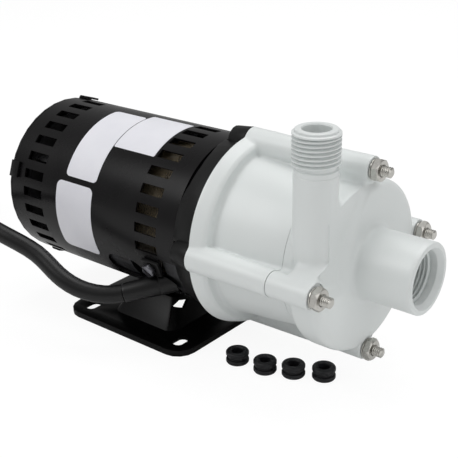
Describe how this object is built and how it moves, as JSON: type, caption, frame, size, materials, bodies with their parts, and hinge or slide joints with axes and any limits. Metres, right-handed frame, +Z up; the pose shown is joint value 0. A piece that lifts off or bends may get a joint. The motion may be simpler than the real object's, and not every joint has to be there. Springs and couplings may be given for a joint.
{
  "type": "magnetic drive pump",
  "caption": "Small fan-cooled motor on a stamped base that drives a sealless plastic centrifugal pump end through a magnet coupling, with threaded inlet and discharge.",
  "frame": {"origin": "centre of the pump's box at the floor, cord and plug left out", "axes": "+X along the axle towards the inlet, +Z up along the discharge pipe, -Y is the side of the discharge pipe and the cord"},
  "size_m": [0.4103, 0.1474, 0.1265],
  "materials": {
    "motor_black": "semi-gloss",
    "base_black": "semi-gloss",
    "adapter_black": "satin",
    "bell_metal": "dull",
    "white_plastic": "moulded, semi-gloss",
    "barrier_plastic": "moulded",
    "impeller_plastic": "moulded",
    "fan_plastic": "moulded",
    "fastener_steel": "plated",
    "clamp_screw_steel": "plated",
    "shaft_steel": "ground",
    "core_iron": "laminated",
    "winding_copper": "varnished wire",
    "magnet_iron": "ground",
    "ceramic": "polished ceramic",
    "carbon": "machined",
    "seal_rubber": "matt",
    "grommet_rubber": "matt",
    "cord_rubber": "satin",
    "plug_plastic": "moulded"
  },
  "bodies": {
    "pump": {"base_plate": "base_black", "motor_can": "motor_black", "rear_cover": "motor_black", "front_bell": "bell_metal", "adapter": "adapter_black", "stator_core": "core_iron", "winding": "winding_copper", "rear_bearing": "shaft_steel", "front_bearing": "shaft_steel", "magnet_housing": "white_plastic", "rear_housing": "barrier_plastic", "o_ring": "seal_rubber", "spindle": "ceramic", "front_thrust_washer": "ceramic", "volute_cover": "white_plastic", "bolt_1": "fastener_steel", "bolt_2": "fastener_steel", "bolt_3": "fastener_steel", "bolt_4": "fastener_steel", "nut_1": "fastener_steel", "nut_2": "fastener_steel", "nut_3": "fastener_steel", "nut_4": "fastener_steel", "washer_1": "fastener_steel", "washer_2": "fastener_steel", "washer_3": "fastener_steel", "washer_4": "fastener_steel", "cord_clamp": "motor_black", "clamp_screw": "clamp_screw_steel", "base_screw_1": "fastener_steel", "base_screw_2": "fastener_steel", "grommet_1": "grommet_rubber", "grommet_2": "grommet_rubber", "grommet_3": "grommet_rubber", "grommet_4": "grommet_rubber", "strain_relief": "cord_rubber", "power_cord": "cord_rubber", "cord_plug": "plug_plastic", "cord_coil": "cord_rubber"},
    "rotor": {"motor_shaft": "shaft_steel", "rotor_core": "core_iron", "cooling_fan": "fan_plastic", "drive_hub": "shaft_steel", "drive_magnet": "magnet_iron", "set_screw": "fastener_steel"},
    "impeller_unit": {"impeller": "impeller_plastic", "driven_magnet": "magnet_iron", "impeller_bushing": "carbon", "rear_thrust_washer": "ceramic"}
  },
  "joints": [
    {"name": "rotor_spin", "type": "hinge", "parent": "pump", "child": "rotor", "pos_m": [0, 0, 0.06], "axis": [1, 0, 0], "continuous": true},
    {"name": "impeller_spin", "type": "hinge", "parent": "pump", "child": "impeller_unit", "pos_m": [0.06, 0, 0.06], "axis": [1, 0, 0], "continuous": true}
  ],
  "couplings": [
    {"joint": "impeller_spin", "follows": "rotor_spin", "ratio": 1}
  ]
}
